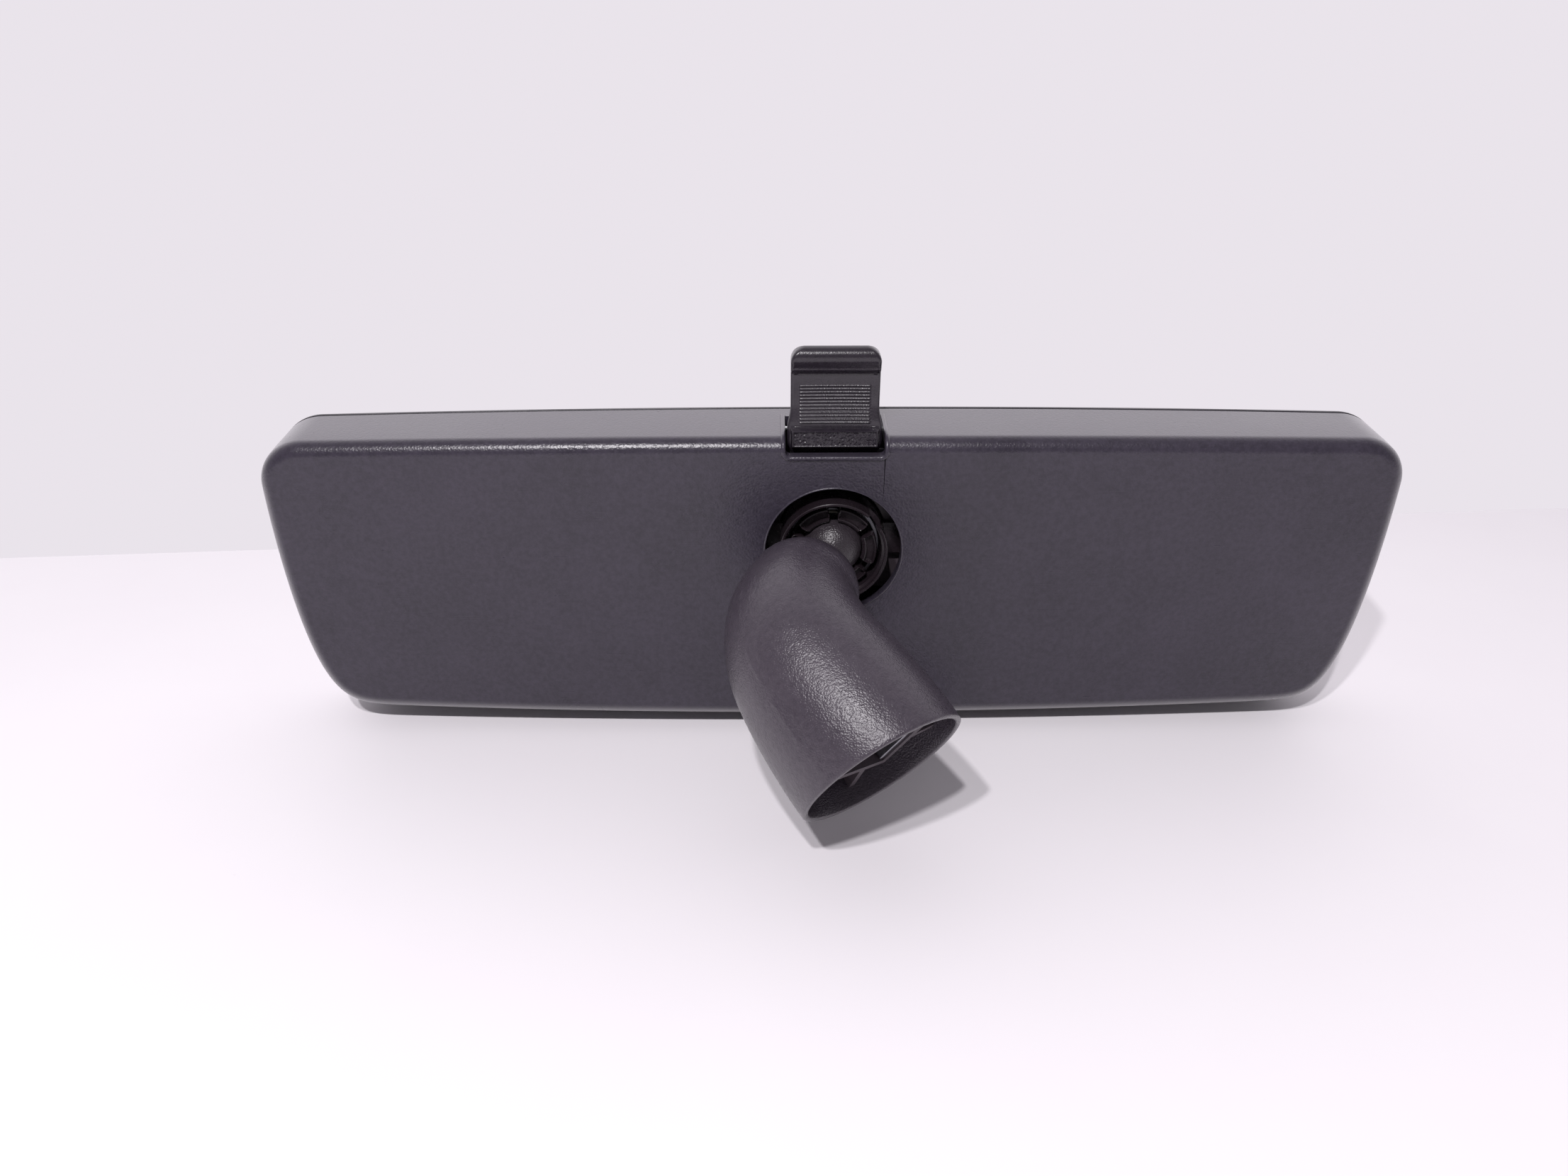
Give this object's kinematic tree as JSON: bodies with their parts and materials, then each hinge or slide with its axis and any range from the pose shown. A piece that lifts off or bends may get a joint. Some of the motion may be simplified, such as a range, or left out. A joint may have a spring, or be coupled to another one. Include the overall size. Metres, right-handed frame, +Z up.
{
  "type": "interior rearview mirror",
  "caption": "Interior day/night rearview mirror: wide prism glass in a crowned plastic housing, dimming lever, ball joint and a hollow elbowed windscreen arm.",
  "frame": {"origin": "under the middle of the whole part's box, on the surface that it stands on", "axes": "+X along the mirror's length, +Y out of the glass, towards the driver, +Z up as it stands on its long edge, which is upside down from its use in a car: there +Z points down"},
  "size_m": [0.2436, 0.0794, 0.09],
  "materials": {
    "housing_plastic": "black, fine spark-eroded grain",
    "bezel_plastic": "black, smooth satin",
    "arm_plastic": "black, coarse sparkling grain",
    "lever_plastic": "black, satin",
    "inner_plastic": "dark grey, as moulded",
    "socket_plastic": "dark grey glass-filled nylon, satin",
    "acetal": "natural acetal",
    "diecast": "die-cast, satin, darkened",
    "steel": "zinc plated",
    "spring_steel": "blued spring steel",
    "glass": "clear, polished",
    "silvering": "silvered, with a dark film behind",
    "rubber": "matt",
    "foam": "closed-cell foam"
  },
  "bodies": {
    "arm": {"arm_shell": "arm_plastic", "ball_stud": "diecast", "stud_retainer": "spring_steel", "foot_insert": "inner_plastic", "windscreen_clip": "spring_steel"},
    "ball_seat": {"ball_seat": "acetal"},
    "friction_washer": {"friction_washer": "spring_steel"},
    "bracket": {"swivel_bracket": "inner_plastic", "socket_cup": "socket_plastic", "clamp_ring": "spring_steel", "bracket_screw_left": "steel", "bracket_screw_right": "steel", "stop_buffer_left": "rubber", "stop_buffer_right": "rubber"},
    "head": {"rear_housing": "housing_plastic", "front_bezel": "bezel_plastic", "mirror_glass": "glass", "mirror_backing": "silvering", "foam_pad_1": "foam", "foam_pad_2": "foam", "foam_pad_3": "foam", "foam_pad_4": "foam", "pivot_pin_left": "steel", "pivot_pin_right": "steel", "pin_cap_left": "inner_plastic", "pin_cap_right": "inner_plastic", "lever_pin": "steel", "detent_spring": "spring_steel", "spring_screw": "steel"},
    "lever": {"dimming_lever": "lever_plastic"}
  },
  "joints": [
    {"name": "head_pan", "type": "hinge", "parent": "arm", "child": "ball_seat", "pos_m": [0, 0.02393, 0.046], "axis": [0, 0, 1], "range_deg": [-44, 4]},
    {"name": "head_tilt", "type": "hinge", "parent": "ball_seat", "child": "friction_washer", "pos_m": [0, 0.02393, 0.046], "axis": [1, 0, 0], "range_deg": [-10, 24]},
    {"name": "head_roll", "type": "hinge", "parent": "friction_washer", "child": "bracket", "pos_m": [0, 0.02393, 0.046], "axis": [0, 1, 0], "range_deg": [-56, 15]},
    {"name": "head_rock", "type": "hinge", "parent": "bracket", "child": "head", "pos_m": [0, 0.02943, 0.028], "axis": [-1, 0, 0], "range_deg": [0, 4.5]},
    {"name": "lever_flip", "type": "hinge", "parent": "head", "child": "lever", "pos_m": [0, 0.02693, 0.063], "axis": [-1, 0, 0], "range_deg": [0, 30]}
  ],
  "couplings": [
    {"joint": "lever_flip", "follows": "head_rock", "ratio": 6.6666}
  ]
}
